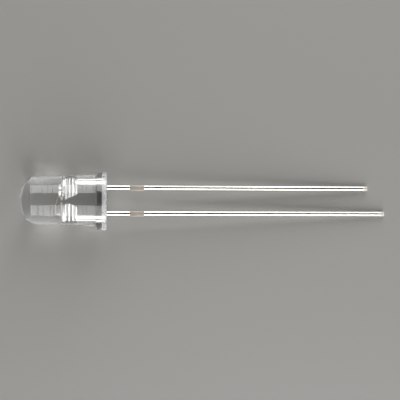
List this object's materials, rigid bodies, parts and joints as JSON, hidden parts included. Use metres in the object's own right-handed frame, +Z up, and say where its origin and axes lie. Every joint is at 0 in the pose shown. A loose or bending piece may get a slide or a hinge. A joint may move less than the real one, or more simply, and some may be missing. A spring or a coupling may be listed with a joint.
{
  "type": "through hole led",
  "caption": "Clear round through-hole LED with a domed lens, a flange with a polarity flat, and a short and a long straight square lead, lying on its side.",
  "frame": {"origin": "centre of the bounding box's bottom face, on the surface that the lamp lies on", "axes": "+X from the dome towards the lead tips, +Y towards the short cathode lead and the flange's flat, +Z up from the surface"},
  "size_m": [0.0362, 0.0056, 0.0059],
  "materials": {
    "clear_epoxy": "clear cast epoxy, glossy",
    "tinned_steel": "bright tin plating, dull where the tie bar was cut off",
    "led_die": "polished semiconductor",
    "die_adhesive": "silver-filled adhesive, matt",
    "gold_wire": "drawn gold wire, bright"
  },
  "bodies": {
    "root": {"lens_body": "clear_epoxy", "cathode_lead": "tinned_steel", "anode_lead": "tinned_steel", "led_chip": "led_die", "die_bond": "die_adhesive", "bond_wire": "gold_wire"}
  },
  "joints": []
}
